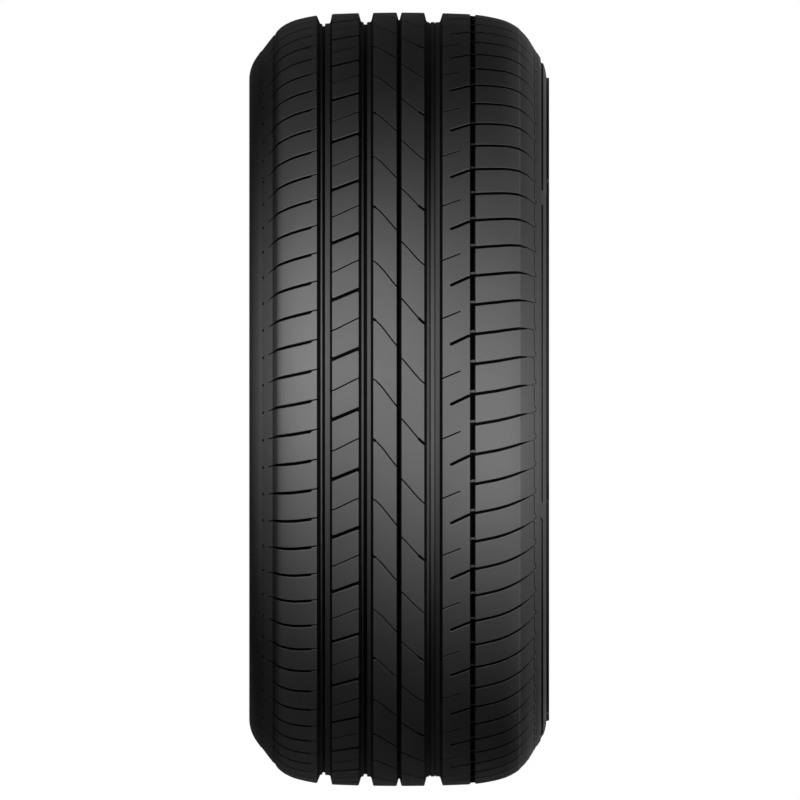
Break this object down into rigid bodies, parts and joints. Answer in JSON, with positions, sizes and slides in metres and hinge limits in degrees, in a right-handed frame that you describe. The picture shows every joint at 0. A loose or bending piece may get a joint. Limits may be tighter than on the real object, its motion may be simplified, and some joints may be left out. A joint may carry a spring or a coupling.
{
  "type": "car tyre",
  "caption": "Pneumatic radial car tyre with an asymmetric road tread, two round bead seats and an open air cavity.",
  "frame": {"origin": "centre of the tyre, on the spin axis at the middle of its width", "axes": "+Z along the spin axis, out of the side with the serrated shoulder; the tyre lies flat on its other sidewall"},
  "size_m": [0.6614, 0.6614, 0.2566],
  "materials": {
    "rubber": "matt vulcanised rubber"
  },
  "bodies": {
    "root": {"tyre": "rubber"}
  },
  "joints": []
}
